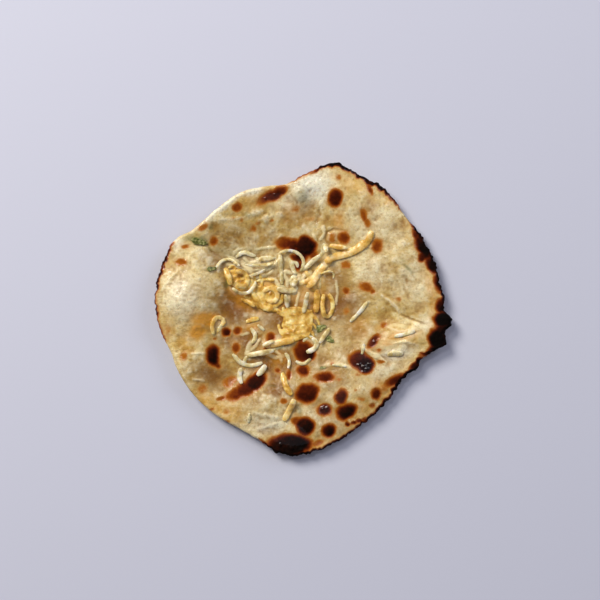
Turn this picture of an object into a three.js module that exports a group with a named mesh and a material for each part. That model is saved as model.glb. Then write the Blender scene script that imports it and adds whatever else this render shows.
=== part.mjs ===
// A round tandoor-baked naan topped with grated cheese and torn coriander leaf.
// Millimetres, +Z up. The origin is on the flat underside, below the middle of the bread.

import * as THREE from 'three';

// ---------------------------------------------------------------- driving dimensions

const DOUGH_THICKNESS = 7.6;      // before the hollow in the middle is pressed in
const RIM_THICKNESS = 4.2;        // of the dough at its edge
const RIM_ROUNDING = 0.022;       // share of the radius that the rounded edge takes
const RESTING_SHARE = 0.5;        // share of the radius that lies flat on the table
const CURL_SHARE = 1.15;          // share of the radius where the curl of the rim would level off
const THINNING_SHARE = 0.4;       // share of the radius where the dough starts to thin
const FORMS_FADE = [0.86, 1.02];  // shares of the radius between which puffs and hollows die out

const ROUND_STEPS = 100;          // facets around the bread
const TOP_RINGS = 14;
const UNDERSIDE_RINGS = [0, 0.5, 0.64, 0.76, 0.86, 0.94];
const EDGE_STEPS = 4;
const OUTLINE_SAMPLES = 720;      // points on a smooth outline

const SHRED_FLATNESS = 0.62;      // thickness of a cheese shred as a share of its width
const SHRED_END = 0.62;           // width of a blunt end as a share of the middle
const SHRED_SIDES = 6;
const SHRED_STEP = 2.6;           // spacing of the rings along a shred
const STEEPEST_DRAPE = 0.7;       // rise over run where a shred climbs over another
const CLEARANCE = 0.45;           // between pieces that lie on each other

// The rim seen from above, counter-clockwise from the right.
const RIM = [
  [100, 6], [95, 28], [86, 48], [72, 67], [58, 85], [43, 92], [27, 101.5], [14, 99.5], [0, 92],
  [-9, 87.5], [-24, 86], [-41, 82], [-57, 71], [-71, 58.5], [-80, 52.5], [-87, 49], [-95, 31],
  [-100.5, 8], [-98, -10], [-90, -29], [-86, -40], [-75, -58], [-58, -73.5], [-38, -85],
  [-26, -92], [-17, -98.5], [-3, -101], [9, -98], [28, -90], [45, -78], [58, -66], [70, -49.5],
  [76, -43], [84, -34.5], [92, -29], [99, -24], [98.5, -15], [103.5, -8], [100, -2],
];

// How far the rim curls up off the table: [direction in degrees, height].
const RIM_LIFT = [
  [0, 5], [35, 4], [65, 6], [90, 8], [112, 11], [135, 12.5], [152, 10.5], [180, 7],
  [205, 5], [240, 4], [265, 3.5], [300, 4.5], [325, 5], [345, 5], [360, 5],
];

// Puffed and sunken places of the crust: centre, height, half-widths along and across, turn in degrees.
const CRUST_FORM = [
  { at: [-77, 6], rise: 9.5, reach: [15, 20], turn: 0 },         // big puffed dome on the left
  { at: [-16, 2], rise: -3.9, reach: [36, 22], turn: -12 },      // hollow that holds the cheese
  { at: [-50, 36], rise: -2.6, reach: [18, 7], turn: -28 },      // valley between dome and lip
  { at: [-4, 62], rise: 2.4, reach: [20, 10], turn: 0 },
  { at: [36, 78], rise: 5.0, reach: [24, 14], turn: -35 },       // top lobe
  { at: [70, 28], rise: 3.4, reach: [16, 28], turn: 10 },        // right-hand swell
  { at: [77, -7], rise: -2.2, reach: [15, 4], turn: -18 },       // crease in the right-hand swell
  { at: [76, -20], rise: 2.2, reach: [14, 6], turn: 15 },
  { at: [-26, -65], rise: 4.4, reach: [16, 9], turn: 20 },       // lower bulge
  { at: [-42, -44], rise: -2.2, reach: [18, 6], turn: 30 },
  { at: [-72, -38], rise: 2.6, reach: [12, 15], turn: 30 },
  { at: [36, -56], rise: 3.6, reach: [26, 14], turn: 38 },       // lower right swell
  { at: [6, -84], rise: 1.8, reach: [14, 9], turn: 0 },
  { at: [0, 82], rise: 1.8, reach: [6, 6], turn: 0 },            // small blister at the top
];

// Grated cheese, in the order it fell: the route seen from above and the width of the shred.
const YELLOW_SHREDS = [
  { width: 4.6, route: [[11.9, 14], [11.8, 6], [11.2, -1.7]] },
  { width: 3.2, route: [[16.4, 11], [15.6, 2], [18, -5], [22.2, -1], [22.6, 6], [20, 11]] },
  { width: 4.7, route: [[17.2, 31], [12.8, 25.8], [9.6, 20], [5.4, 15.6]] },
  { width: 4.7, route: [[50, 54.5], [46.4, 47], [39.5, 41.5], [30.6, 38.2], [24, 36.6], [17.6, 33.4]] },
  { width: 3.8, route: [[20.6, 44.6], [26, 44], [32, 43.2]] },
  { width: 1.4, route: [[14.6, 25.2], [19.4, 27], [23.6, 25.8], [23, 21.8]] },
  { width: 5, route: [[-20.4, -24.8], [-13.3, -22.6], [-4.4, -21]] },
  { width: 4.2, route: [[-12.2, -43.6], [-10.2, -52], [-6, -59]] },
  { width: 4.4, route: [[-4, -62], [-7, -69], [-11, -77]] },
  { width: 3, route: [[-60, -17], [-61, -10], [-57.4, -5], [-52.8, -7.4], [-54, -11]] },
  { width: 3.4, route: [[-37.4, -8.4], [-33, -6.6], [-28.6, -6]] },
  { width: 4, route: [[-52, 29], [-49.6, 23], [-48.4, 17.4]] },
  { width: 3.6, route: [[-45.6, 26.4], [-39.6, 26.4], [-36.4, 21.6], [-39, 16.4], [-44, 17.4]] },
  { width: 3.8, route: [[-33.6, 12.6], [-30, 6.6], [-25.4, 1.6], [-19, 0.6]] },
  { width: 3.4, route: [[-26, 12.6], [-20.6, 15.4], [-15.6, 11.4], [-17.4, 6], [-22.6, 6.6]] },
  { width: 3, route: [[-41, 7.4], [-35.4, 5.4], [-31.6, 2.4]] },
];

const WHITE_SHREDS = [
  { width: 2.8, route: [[-44.6, 36.7], [-39.2, 40.3], [-34.6, 38.6], [-31, 37.4]] },
  { width: 3.6, route: [[-28.5, 35.2], [-23, 36.2], [-18.2, 36]] },
  { width: 3, route: [[-14.2, 40], [-13.2, 29], [-12.4, 18]] },
  { width: 2.2, route: [[-14.4, 39.6], [-9, 41.4], [-3.6, 40.6], [1, 37.4], [2.6, 33], [1.2, 28]] },
  { width: 3, route: [[-6.4, 34.4], [-5, 29], [-2.9, 24.6]] },
  { width: 3.4, route: [[13.7, 37.5], [8.3, 33.5], [3.8, 28.6]] },
  { width: 3.6, route: [[17.4, 45.8], [18.2, 40]] },
  { width: 4, route: [[-16, 14.8], [-9.4, 13.4], [-2.4, 13.6]] },
  { width: 3.6, route: [[-2.8, 22], [-3.6, 19], [-5.2, 16.8]] },
  { width: 3.4, route: [[5.4, 12.3], [3.8, 4.1], [2.4, -2]] },
  { width: 2.8, route: [[-10, 10.6], [-9.4, 6], [-8.6, 1.6]] },
  { width: 3, route: [[-26, -24.6], [-18.4, -21.4]] },
  { width: 3.8, route: [[-36.5, -31.7], [-27.6, -29.9], [-18.6, -28.1]] },
  { width: 3, route: [[-46.9, -30.6], [-40.6, -37], [-34, -38.8], [-26.1, -36.7]] },
  { width: 3.4, route: [[-41, -40.6], [-42.3, -46], [-40.6, -51.3]] },
  { width: 4, route: [[-24, -38.4], [-26.3, -42], [-29.8, -45.4]] },
  { width: 2.4, route: [[-10.2, -30], [-7.6, -34.4], [-8.2, -40.6]] },
  { width: 2.8, route: [[47.2, 6], [41.6, -1.4], [35, -8.2]] },
  { width: 2.8, route: [[65.4, -18.2], [72, -17], [79.8, -14.4]] },
  { width: 3.4, route: [[61.1, -31.2], [66, -30], [71.4, -30.6]] },
  { width: 2.4, route: [[44.6, -23.5], [43, -30.8]] },
  { width: 3.6, route: [[4.6, -29.4], [9.4, -27.4], [12, -23.4], [8.6, -19.6]] },
  { width: 3.2, route: [[13.6, -23], [17, -17.8], [20.6, -12.8]] },
  { width: 2.4, route: [[-2.9, -35.8], [2.2, -37.6], [7.3, -34]] },
  { width: 2.2, route: [[22.4, -38], [32, -39.2]] },
  { width: 2.2, route: [[-35, -71.6], [-35.6, -78.2]] },
  { width: 2.8, route: [[-34.2, -12.6], [-31, -18], [-33, -23.4]] },
  { width: 2.4, route: [[-58, 29.6], [-54.6, 34], [-48.6, 35.4], [-42, 30.6]] },
  { width: 2.4, route: [[-47, 15.4], [-42.6, 12], [-36, 12.2], [-31.6, 17.4], [-31, 20.4]] },
  { width: 2.4, route: [[-38, 31.4], [-30, 31], [-24.6, 31.4], [-18.4, 32.6]] },
  { width: 2.2, route: [[-35, 23.8], [-29.6, 25.4], [-24.4, 27.8]] },
  { width: 2.4, route: [[-25, -14], [-29.4, -10.4]] },
];

// Torn coriander leaf: centre, half-length, half-width and turn in degrees.
const LEAF_THICKNESS = 0.5;
const LEAF_LOBES = 3;
const LEAF_LOBE_DEPTH = 0.14;     // share of the leaf's reach
const LEAF_RIBS = [-0.6, 0, 0.6]; // shares of the half-length where things can rest on the leaf
const LEAF_RINGS = { low: [0, 0.6], high: [0.6, 0] };
const LEAF_ROUNDING = 0.08;
const LEAF_STEPS = 18;
const LEAVES = [
  { at: [-70.6, 47.6], size: [7, 2.6], turn: -14 },
  { at: [-61.6, 28.6], size: [4.2, 1.8], turn: 8 },
  { at: [14.4, -12.4], size: [4.4, 2.6], turn: 20 },
  { at: [20.6, -20.4], size: [3.6, 2.4], turn: -30 },
  { at: [15.6, -40], size: [2.8, 1], turn: 5 },
  { at: [-50, 20], size: [2.2, 1.5], turn: 60 },
];

// Pools where the grated cheese has melted together, seen from above.
const POOL_THICKNESS = 1.2;
const POOL_ROUNDING = 0.06;
const POOL_RINGS = 4;
const POOL_STEPS = 28;
const POOL_SPACING = 3;           // between the places where shreds can rest on a pool
const POOLS = [
  [
    [8, -1], [9, -9], [7, -17], [1, -20.6], [-8, -21], [-12.6, -16], [-10.4, -9], [-10.8, -3],
    [-10, 1], [-3, 2.4],
  ],
  [
    [-49, 27], [-42, 29], [-36, 25], [-31, 18], [-23, 15.6], [-15, 12.4], [-13, 5], [-19, 0],
    [-28, 2.6], [-36, 8.6], [-44, 14], [-50, 19],
  ],
];

// ---------------------------------------------------------------- form of the bread

const degrees = THREE.MathUtils.degToRad;

// Distance from the middle to the rim in every direction, from a smooth closed curve.
function rimRadius(outline) {
  const corners = outline.map(([x, y]) => new THREE.Vector3(x, y, 0));
  const curve = new THREE.CatmullRomCurve3(corners, true, 'centripetal');
  const middle = corners.reduce((sum, p) => sum.add(p), new THREE.Vector3()).divideScalar(corners.length);
  const samples = curve.getPoints(OUTLINE_SAMPLES).map((p) => {
    const arm = p.clone().sub(middle);
    return { angle: Math.atan2(arm.y, arm.x), radius: arm.length() };
  }).sort((a, b) => a.angle - b.angle);
  const radiusAt = (angle) => {
    const wrapped = Math.atan2(Math.sin(angle), Math.cos(angle));
    let high = samples.findIndex((s) => s.angle > wrapped);
    if (high < 0) high = 0;
    const low = (high + samples.length - 1) % samples.length;
    const span = samples[high].angle - samples[low].angle;
    const share = span > 0 ? (wrapped - samples[low].angle) / span : 0;
    return THREE.MathUtils.lerp(samples[low].radius, samples[high].radius, share);
  };
  return { middle, radiusAt };
}

const rim = rimRadius(RIM);

// 0 at the middle of the bread, 1 at its rim.
function shareOfRadius(x, y) {
  const arm = new THREE.Vector2(x - rim.middle.x, y - rim.middle.y);
  return arm.length() / rim.radiusAt(arm.angle());
}

function rimLift(x, y) {
  const arm = new THREE.Vector2(x - rim.middle.x, y - rim.middle.y);
  const angle = THREE.MathUtils.radToDeg(arm.angle()) % 360;
  const next = RIM_LIFT.findIndex(([direction]) => direction > angle);
  const [fromAngle, fromLift] = RIM_LIFT[next - 1];
  const [toAngle, toLift] = RIM_LIFT[next];
  const ease = THREE.MathUtils.smoothstep(angle, fromAngle, toAngle);
  return THREE.MathUtils.lerp(fromLift, toLift, ease);
}

// Height of the underside: flat on the table in the middle, curling up towards the rim.
function undersideHeight(x, y) {
  const curl = THREE.MathUtils.smoothstep(shareOfRadius(x, y), RESTING_SHARE, CURL_SHARE);
  return rimLift(x, y) * curl / THREE.MathUtils.smoothstep(1, RESTING_SHARE, CURL_SHARE);
}

function swell({ at, rise, reach, turn }, x, y) {
  const offset = new THREE.Vector2(x - at[0], y - at[1]).rotateAround(new THREE.Vector2(), -degrees(turn));
  return rise * Math.exp(-((offset.x / reach[0]) ** 2 + (offset.y / reach[1]) ** 2) / 2);
}

function crustHeight(x, y) {
  const share = shareOfRadius(x, y);
  const thinning = THREE.MathUtils.smoothstep(share, THINNING_SHARE, 1);
  const thickness = THREE.MathUtils.lerp(DOUGH_THICKNESS, RIM_THICKNESS, thinning);
  const forms = CRUST_FORM.reduce((sum, form) => sum + swell(form, x, y), 0);
  const rimFade = 1 - THREE.MathUtils.smoothstep(share, ...FORMS_FADE);
  return undersideHeight(x, y) + thickness + forms * rimFade;
}

// A slab with a rounded edge, bent to lie between two heights.
function slab({ middle, radiusAt }, rings, edge, around, lowAt, highAt) {
  const profile = rings.low.map((share) => new THREE.Vector2(share * (1 - edge), -1));
  for (let step = 0; step <= EDGE_STEPS; step += 1) {
    const angle = degrees(-90 + 180 * step / EDGE_STEPS);
    profile.push(new THREE.Vector2(1 - edge + edge * Math.cos(angle), Math.sin(angle)));
  }
  rings.high.forEach((share) => profile.push(new THREE.Vector2(share * (1 - edge), 1)));
  const geometry = new THREE.LatheGeometry(profile, around);
  geometry.rotateX(Math.PI / 2);
  const places = geometry.attributes.position;
  for (let i = 0; i < places.count; i += 1) {
    const spoke = new THREE.Vector2(places.getX(i), places.getY(i));
    const reach = spoke.length() * radiusAt(spoke.angle());
    const x = middle.x + reach * Math.cos(spoke.angle());
    const y = middle.y + reach * Math.sin(spoke.angle());
    const height = THREE.MathUtils.lerp(lowAt(x, y), highAt(x, y), (places.getZ(i) + 1) / 2);
    places.setXYZ(i, x, y, height);
  }
  geometry.deleteAttribute('normal');
  geometry.deleteAttribute('uv');
  return geometry;
}

function evenRings(count) {
  return Array.from({ length: count }, (_, ring) => 1 - (ring + 1) / count);
}

function breadGeometry() {
  const rings = { low: UNDERSIDE_RINGS, high: evenRings(TOP_RINGS) };
  return slab(rim, rings, RIM_ROUNDING, ROUND_STEPS, undersideHeight, crustHeight);
}

// ---------------------------------------------------------------- topping

// Everything laid so far, as discs: where, how wide and how high their tops are.
const laid = [];

function restingHeight(x, y, halfWidth) {
  const crust = Math.max(
    crustHeight(x, y),
    crustHeight(x + halfWidth, y),
    crustHeight(x - halfWidth, y),
    crustHeight(x, y + halfWidth),
    crustHeight(x, y - halfWidth),
  );
  const under = laid.filter((disc) => (
    Math.hypot(disc.x - x, disc.y - y) < disc.halfWidth + halfWidth + CLEARANCE + SHRED_STEP / 2
  ));
  return under.reduce((height, disc) => Math.max(height, disc.top), crust) + CLEARANCE;
}

// A shred lies on what is under it, and spans in a straight ramp where it climbs over another.
function shredPath(route, width) {
  const corners = route.map(([x, y]) => new THREE.Vector3(x, y, 0));
  const plan = new THREE.CatmullRomCurve3(corners, false, 'centripetal');
  const steps = Math.max(3, Math.round(plan.getLength() / SHRED_STEP));
  const places = plan.getSpacedPoints(steps);
  const resting = places.map((p) => restingHeight(p.x, p.y, width / 2));
  return places.map((p, i) => {
    const height = resting.reduce((highest, other, j) => (
      Math.max(highest, other - Math.abs(i - j) * SHRED_STEP * STEEPEST_DRAPE)
    ), 0);
    return new THREE.Vector3(p.x, p.y, height + width * SHRED_FLATNESS / 2);
  });
}

// A cylinder bent along the path: flattened, blunt at both ends and slightly uneven.
function shredGeometry({ width, route }) {
  const path = shredPath(route, width);
  const steps = path.length - 1;
  const geometry = new THREE.CylinderGeometry(1, 1, 1, SHRED_SIDES, steps);
  const places = geometry.attributes.position;
  for (let i = 0; i < places.count; i += 1) {
    const ring = Math.round((0.5 - places.getY(i)) * steps);
    const along = path[Math.min(ring + 1, steps)].clone().sub(path[Math.max(ring - 1, 0)]).normalize();
    const side = new THREE.Vector3(along.y, -along.x, 0).normalize();
    const up = new THREE.Vector3().crossVectors(side, along);
    const blunt = ring === 0 || ring === steps ? SHRED_END : 1;
    const place = path[ring].clone()
      .addScaledVector(side, -places.getX(i) * blunt * width / 2)
      .addScaledVector(up, places.getZ(i) * blunt * width * SHRED_FLATNESS / 2);
    places.setXYZ(i, place.x, place.y, place.z);
  }
  geometry.deleteAttribute('normal');
  geometry.deleteAttribute('uv');
  const halfThickness = width * SHRED_FLATNESS / 2;
  path.forEach((p) => laid.push({ x: p.x, y: p.y, halfWidth: width / 2, top: p.z + halfThickness }));
  return geometry;
}

function poolGeometry(outline) {
  const pool = rimRadius(outline);
  const low = (x, y) => crustHeight(x, y) + CLEARANCE;
  const high = (x, y) => low(x, y) + POOL_THICKNESS;
  const bounds = new THREE.Box2().setFromPoints(outline.map(([x, y]) => new THREE.Vector2(x, y)));
  for (let { x } = bounds.min; x <= bounds.max.x; x += POOL_SPACING) {
    for (let { y } = bounds.min; y <= bounds.max.y; y += POOL_SPACING) {
      const arm = new THREE.Vector2(x - pool.middle.x, y - pool.middle.y);
      if (arm.length() < pool.radiusAt(arm.angle())) {
        laid.push({ x, y, halfWidth: POOL_SPACING / 2, top: high(x, y) });
      }
    }
  }
  const rings = { low: evenRings(POOL_RINGS).reverse(), high: evenRings(POOL_RINGS) };
  return slab(pool, rings, POOL_ROUNDING, POOL_STEPS, low, high);
}

// A torn leaf: three rounded lobes on a flat blade.
function leafGeometry({ at, size, turn }) {
  const [halfLength, halfWidth] = size;
  const radiusAt = (angle) => {
    const across = angle - degrees(turn);
    const oval = 1 / Math.hypot(Math.cos(across) / halfLength, Math.sin(across) / halfWidth);
    return oval * (1 - LEAF_LOBE_DEPTH + LEAF_LOBE_DEPTH * Math.cos(LEAF_LOBES * across));
  };
  const seat = restingHeight(at[0], at[1], halfWidth) - crustHeight(at[0], at[1]);
  const low = (x, y) => crustHeight(x, y) + seat;
  const high = (x, y) => low(x, y) + LEAF_THICKNESS;
  const middle = new THREE.Vector3(at[0], at[1], 0);
  const geometry = slab({ middle, radiusAt }, LEAF_RINGS, LEAF_ROUNDING, LEAF_STEPS, low, high);
  for (const share of LEAF_RIBS) {
    const x = at[0] + share * halfLength * Math.cos(degrees(turn));
    const y = at[1] + share * halfLength * Math.sin(degrees(turn));
    laid.push({ x, y, halfWidth, top: high(x, y) });
  }
  return geometry;
}

// ---------------------------------------------------------------- materials

const finishes = {
  bakedDough: new THREE.MeshStandardMaterial({ color: '#cdb888', roughness: 0.55, metalness: 0 }),
  yellowCheese: new THREE.MeshStandardMaterial({ color: '#e3b766', roughness: 0.4, metalness: 0 }),
  whiteCheese: new THREE.MeshStandardMaterial({ color: '#e6d9b8', roughness: 0.4, metalness: 0 }),
  coriander: new THREE.MeshStandardMaterial({ color: '#5c6a2a', roughness: 0.5, metalness: 0 }),
};

// ---------------------------------------------------------------- assembly

function piece(name, geometry, material) {
  const mesh = new THREE.Mesh(geometry, material);
  mesh.name = name;
  return mesh;
}

function numbered(name, index) {
  return `${name}_${String(index + 1).padStart(2, '0')}`;
}

const naan = new THREE.Group();
naan.add(piece('naan_bread', breadGeometry(), finishes.bakedDough));
POOLS.forEach((outline, i) => {
  naan.add(piece(numbered('melted_yellow_cheese', i), poolGeometry(outline), finishes.yellowCheese));
});
LEAVES.forEach((leaf, i) => {
  naan.add(piece(numbered('coriander_leaf', i), leafGeometry(leaf), finishes.coriander));
});
YELLOW_SHREDS.forEach((shred, i) => {
  naan.add(piece(numbered('yellow_cheese_shred', i), shredGeometry(shred), finishes.yellowCheese));
});
WHITE_SHREDS.forEach((shred, i) => {
  naan.add(piece(numbered('white_cheese_shred', i), shredGeometry(shred), finishes.whiteCheese));
});

export default naan;
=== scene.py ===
# A tandoor-baked naan with grated cheese and torn coriander, lying on a pale table.
# Metres, +Z up; sizes are written in millimetres and turned into metres where a mesh is made.

import math
import bpy
import numpy as np
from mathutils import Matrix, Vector
from mathutils.bvhtree import BVHTree


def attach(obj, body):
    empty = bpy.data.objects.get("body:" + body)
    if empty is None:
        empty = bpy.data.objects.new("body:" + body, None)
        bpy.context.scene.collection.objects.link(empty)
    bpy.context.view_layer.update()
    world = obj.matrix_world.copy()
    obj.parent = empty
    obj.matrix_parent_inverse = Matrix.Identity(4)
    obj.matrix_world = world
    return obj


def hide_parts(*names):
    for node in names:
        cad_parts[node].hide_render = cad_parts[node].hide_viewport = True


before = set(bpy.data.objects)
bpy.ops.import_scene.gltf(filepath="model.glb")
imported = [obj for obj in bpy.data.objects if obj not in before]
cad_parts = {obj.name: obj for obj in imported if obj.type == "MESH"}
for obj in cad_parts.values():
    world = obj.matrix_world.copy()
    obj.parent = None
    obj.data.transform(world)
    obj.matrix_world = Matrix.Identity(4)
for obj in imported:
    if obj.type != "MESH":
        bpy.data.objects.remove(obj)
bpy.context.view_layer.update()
MM = 0.001


# ------------------------------------------------------------------ table, camera and light
# A plain pale lavender-grey table, seen from straight above. One big soft light comes from the
# upper left, with a small bright pane beside it for the glints and a weak fill from the upper right.

def linear(hex_colour):
    """An sRGB hex colour as the linear RGBA that Blender's sockets hold."""
    channels = [int(hex_colour[i:i + 2], 16) / 255 for i in (1, 3, 5)]
    return tuple(c / 12.92 if c <= 0.04045 else ((c + 0.055) / 1.055) ** 2.4 for c in channels) + (1.0,)


def add_node(tree, kind, settings=None, inputs=None, stops=None, output=0):
    """Adds a node: its settings, its inputs (a value, or the socket that feeds it) and its colour
    stops (position, with a hex colour or a grey level). Gives back one of its outputs."""
    made = tree.nodes.new(kind)
    for name, value in (settings or {}).items():
        setattr(made, name, value)
    sockets = {socket.identifier: socket for socket in made.inputs}
    for name, value in (inputs or {}).items():
        if isinstance(value, bpy.types.NodeSocket):
            tree.links.new(value, sockets[name])
        else:
            sockets[name].default_value = value
    if stops:
        on_ramp = made.color_ramp.elements
        on_ramp[0].position, on_ramp[1].position = stops[0][0], stops[-1][0]
        for position, _ in stops[1:-1]:
            on_ramp.new(position)
        for stop, (_, colour) in zip(on_ramp, stops):
            stop.color = linear(colour) if isinstance(colour, str) else (colour, colour, colour, 1.0)
    return made.outputs[output]


def new_material(name):
    """An empty Principled material: its node tree and its shader."""
    material = bpy.data.materials.new(name)
    material.use_nodes = True
    return material, material.node_tree, material.node_tree.nodes["Principled BSDF"]


TABLE_SIZE = 6.0
table_mesh = bpy.data.meshes.new("table_top")
table_mesh.from_pydata(
    [(sx * TABLE_SIZE / 2, sy * TABLE_SIZE / 2, 0) for sx, sy in ((-1, -1), (1, -1), (1, 1), (-1, 1))],
    [], [(0, 1, 2, 3)])
table_top = bpy.data.objects.new("table_top", table_mesh)
bpy.context.scene.collection.objects.link(table_top)
laminate, tree, shader = new_material("matt_pale_grey_laminate")
shader.inputs["Base Color"].default_value = linear("#c4c6d6")
shader.inputs["Roughness"].default_value = 0.7
table_mesh.materials.append(laminate)

VIEW_WIDTH = 420 * MM
VIEW_MIDDLE = Vector((0, 7 * MM, 0))
CAMERA_HEIGHT = 1.3
camera = bpy.data.objects.new("camera", bpy.data.cameras.new("camera"))
bpy.context.scene.collection.objects.link(camera)
camera.data.lens = camera.data.sensor_width * CAMERA_HEIGHT / VIEW_WIDTH
camera.location = VIEW_MIDDLE + Vector((0, 0, CAMERA_HEIGHT))
bpy.context.scene.camera = camera


def soft_light(name, place, aim, width, watts, colour):
    lamp = bpy.data.lights.new(name, "AREA")
    lamp.shape = "DISK"
    lamp.size = width
    lamp.energy = watts
    lamp.color = linear(colour)[:3]
    holder = bpy.data.objects.new(name, lamp)
    holder.location = place
    holder.rotation_euler = (Vector(aim) - Vector(place)).to_track_quat("-Z", "Y").to_euler()
    bpy.context.scene.collection.objects.link(holder)


soft_light("window_light", (-1.2, 1.35, 1.5), (0, 0, 0), 1.0, 56, "#fff9ee")
soft_light("window_pane", (-0.75, 0.85, 2.3), (0, 0, 0), 0.22, 7, "#ffffff")
soft_light("room_fill", (1.7, 1.5, 1.5), (0, 0, 0), 1.6, 18, "#f2f3ff")
world = bpy.data.worlds.new("room")
world.use_nodes = True
world.node_tree.nodes["Background"].inputs["Color"].default_value = linear("#dcdfee")
world.node_tree.nodes["Background"].inputs["Strength"].default_value = 0.26
bpy.context.scene.world = world
bpy.context.scene.view_settings.view_transform = "Standard"


# ------------------------------------------------------------------ the baked dough
# One piece of leavened wheat dough, stretched by hand and slapped on the wall of a tandoor.
# It puffs in domes and blisters, scorches where it touches the hot clay, chars along the rim
# where it is thinnest, and is brushed with butter when it comes out.

BREAD = "naan_bread"
ACROSS = 268                 # mesh cells across the top; the underside has half as many
EDGE_SHARE = 0.022           # share of the radius taken by the rounded rim
RIM_STEPS = 7                # rings of mesh around the rounded rim
INNER_SHARE = 0.966          # share of the radius inside which the solid is measured
RIM_ZONE = 0.93              # share of the radius where the charred rim begins
STEAM_BLISTERS = 420         # small blisters scattered at random
SCATTER_REACH = 97           # mm, how far out they lie
SEED = 12

bread_vertices = [v.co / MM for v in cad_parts[BREAD].data.vertices]
bread_faces = [tuple(p.vertices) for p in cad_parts[BREAD].data.polygons]
solid = BVHTree.FromPolygons(bread_vertices, bread_faces)
FAR = 60.0                   # mm above and below the bread, where the measuring rays start


def dough_at(x, y):
    """Lowest and highest point of the solid bread above a place on the table, or None beside it."""
    top = solid.ray_cast(Vector((x, y, FAR)), Vector((0, 0, -1)))[0]
    low = solid.ray_cast(Vector((x, y, -FAR)), Vector((0, 0, 1)))[0]
    return None if top is None or low is None else (low.z, top.z)


def rim_distance(angle):
    """How far the solid reaches from the origin in one direction, found by halving."""
    inside, outside = 40.0, 125.0
    for _ in range(14):
        middle = (inside + outside) / 2
        if dough_at(middle * math.cos(angle), middle * math.sin(angle)) is None:
            outside = middle
        else:
            inside = middle
    return inside


DIRECTIONS = 300
direction = np.linspace(-math.pi, math.pi, DIRECTIONS, endpoint=False)
reach_table = np.array([rim_distance(a) for a in direction])


def reach(angle):
    return np.interp(angle, direction, reach_table, period=2 * math.pi)


def blurred(values, cells):
    """A smooth copy of a square table of heights."""
    width = int(3 * cells)
    weights = np.exp(-(np.arange(-width, width + 1) / cells) ** 2 / 2)
    weights /= weights.sum()
    for axis in (0, 1):
        padded = np.pad(values, [(width, width) if a == axis else (0, 0) for a in (0, 1)], mode="edge")
        values = sum(w * np.take(padded, np.arange(values.shape[axis]) + i, axis=axis)
                     for i, w in enumerate(weights))
    return values


HALF = 112                   # mm, half the side of the table of heights, which has a cell a millimetre
lines = np.arange(-HALF, HALF + 1)
low_table = np.zeros((len(lines), len(lines)))
top_table = np.zeros((len(lines), len(lines)))
for row, y in enumerate(lines):
    for column, x in enumerate(lines):
        far = math.hypot(x, y)
        inner = min(1.0, INNER_SHARE * reach(math.atan2(y, x)) / max(far, 1e-6))
        low_table[row, column], top_table[row, column] = dough_at(x * inner, y * inner)
top_table = blurred(top_table, 2.6)
low_table = blurred(low_table, 1.6)


def table_value(table, x, y):
    """Bilinear reading of a square table that covers the bread."""
    cells = len(table) - 1
    column = np.clip((x + HALF) * cells / (2 * HALF), 0, cells - 1e-6)
    row = np.clip((y + HALF) * cells / (2 * HALF), 0, cells - 1e-6)
    c, r = column.astype(int), row.astype(int)
    u, v = column - c, row - r
    return ((table[r, c] * (1 - u) + table[r, c + 1] * u) * (1 - v)
            + (table[r + 1, c] * (1 - u) + table[r + 1, c + 1] * u) * v)


def grain(x, y, size, seed):
    """Smooth random bumps of a size in millimetres, from -1 to 1."""
    lattice = np.random.RandomState(seed).rand(64, 64) * 2 - 1
    u, v = x / size + 500.37, y / size + 500.71
    c, r = np.floor(u).astype(int), np.floor(v).astype(int)
    u, v = u - c, v - r
    u, v = u * u * (3 - 2 * u), v * v * (3 - 2 * v)
    c, r = c % 64, r % 64
    c1, r1 = (c + 1) % 64, (r + 1) % 64
    return ((lattice[r, c] * (1 - u) + lattice[r, c1] * u) * (1 - v)
            + (lattice[r1, c] * (1 - u) + lattice[r1, c1] * u) * v)


def rough(x, y, size, seed, octaves=3):
    """Grain on grain: each octave is half the size and a little over half the height."""
    total = sum(0.55 ** k * grain(x, y, size / 2 ** k, seed + k) for k in range(octaves))
    return total / sum(0.55 ** k for k in range(octaves))


def smooth(edge0, edge1, value):
    t = np.clip((value - edge0) / (edge1 - edge0), 0, 1)
    return t * t * (3 - 2 * t)


def oval(x, y, at, size, turn):
    """Distance from the middle of an oval, 1 on its edge."""
    c, s = math.cos(math.radians(turn)), math.sin(math.radians(turn))
    dx, dy = x - at[0], y - at[1]
    return np.hypot((dx * c + dy * s) / size[0], (dy * c - dx * s) / size[1])


def track_distance(x, y, route):
    """Distance in millimetres to a line of points, and the share of the way along it."""
    best = np.full(x.shape, 1e9)
    along = np.zeros(x.shape)
    for i, ((ax, ay), (bx, by)) in enumerate(zip(route, route[1:])):
        t = np.clip(((x - ax) * (bx - ax) + (y - ay) * (by - ay)) / ((bx - ax) ** 2 + (by - ay) ** 2), 0, 1)
        d = np.hypot(x - ax - t * (bx - ax), y - ay - t * (by - ay))
        along = np.where(d < best, (i + t) / (len(route) - 1), along)
        best = np.minimum(best, d)
    return best, along


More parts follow.
